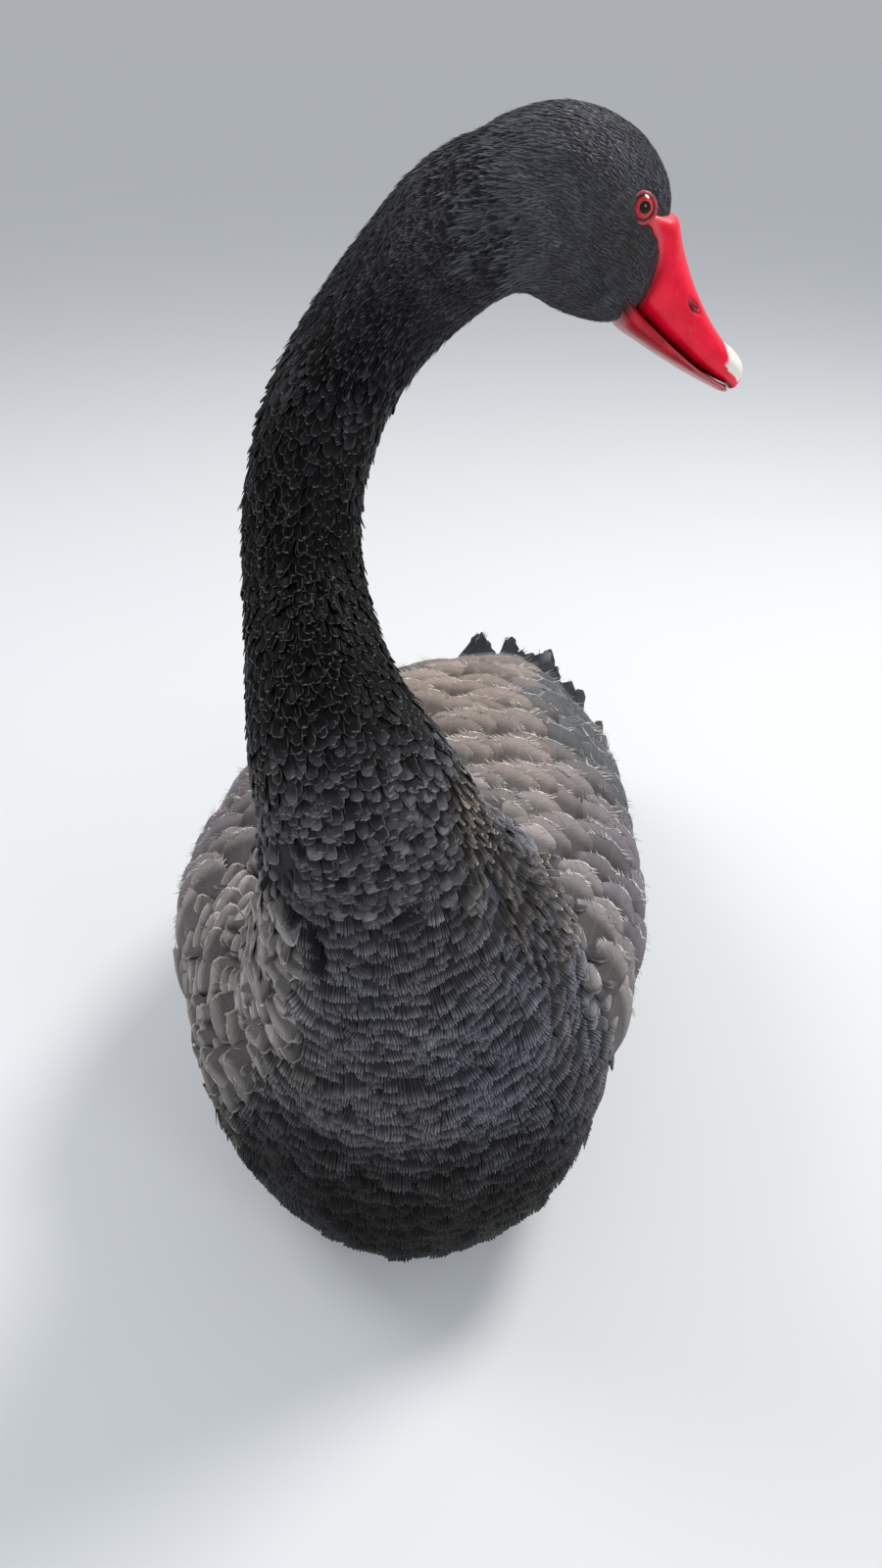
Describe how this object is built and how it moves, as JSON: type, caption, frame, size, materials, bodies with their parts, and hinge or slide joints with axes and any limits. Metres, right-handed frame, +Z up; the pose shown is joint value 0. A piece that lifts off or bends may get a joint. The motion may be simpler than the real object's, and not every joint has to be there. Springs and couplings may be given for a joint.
{
  "type": "black swan",
  "caption": "Life-size still model of a black swan resting on its belly, long neck raised, head turned to its left.",
  "frame": {"origin": "middle of the flat on the belly, on the floor", "axes": "+Z up, the breast towards -Y and the tail towards +Y, the swan's left side towards +X"},
  "size_m": [0.3108, 0.5987, 0.6003],
  "materials": {
    "body_plumage": "soft overlapping body feathers, charcoal with a brown and violet cast",
    "neck_plumage": "small scale-like feathers, near black with greyish brown edges",
    "head_plumage": "fine velvet-like feathers, blue black",
    "wing_plumage": "large rounded feathers, taupe grey with pale frayed fringes",
    "tail_plumage": "stiff vanes, blue black with a soft gloss",
    "bill": "smooth waxy crimson horn with a cream nail",
    "eye": "wet, glossy red iris round a black pupil",
    "leg_skin": "dark grey leathery skin with small scales"
  },
  "bodies": {
    "root": {"torso": "body_plumage", "neck_base": "neck_plumage", "neck_lower": "neck_plumage", "neck_middle": "neck_plumage", "neck_upper": "neck_plumage", "head": "head_plumage", "upper_bill": "bill", "lower_bill": "bill", "eye_left": "eye", "eye_right": "eye", "wing_left": "wing_plumage", "wing_right": "wing_plumage", "tail": "tail_plumage", "leg_left": "leg_skin", "leg_right": "leg_skin"}
  },
  "joints": []
}
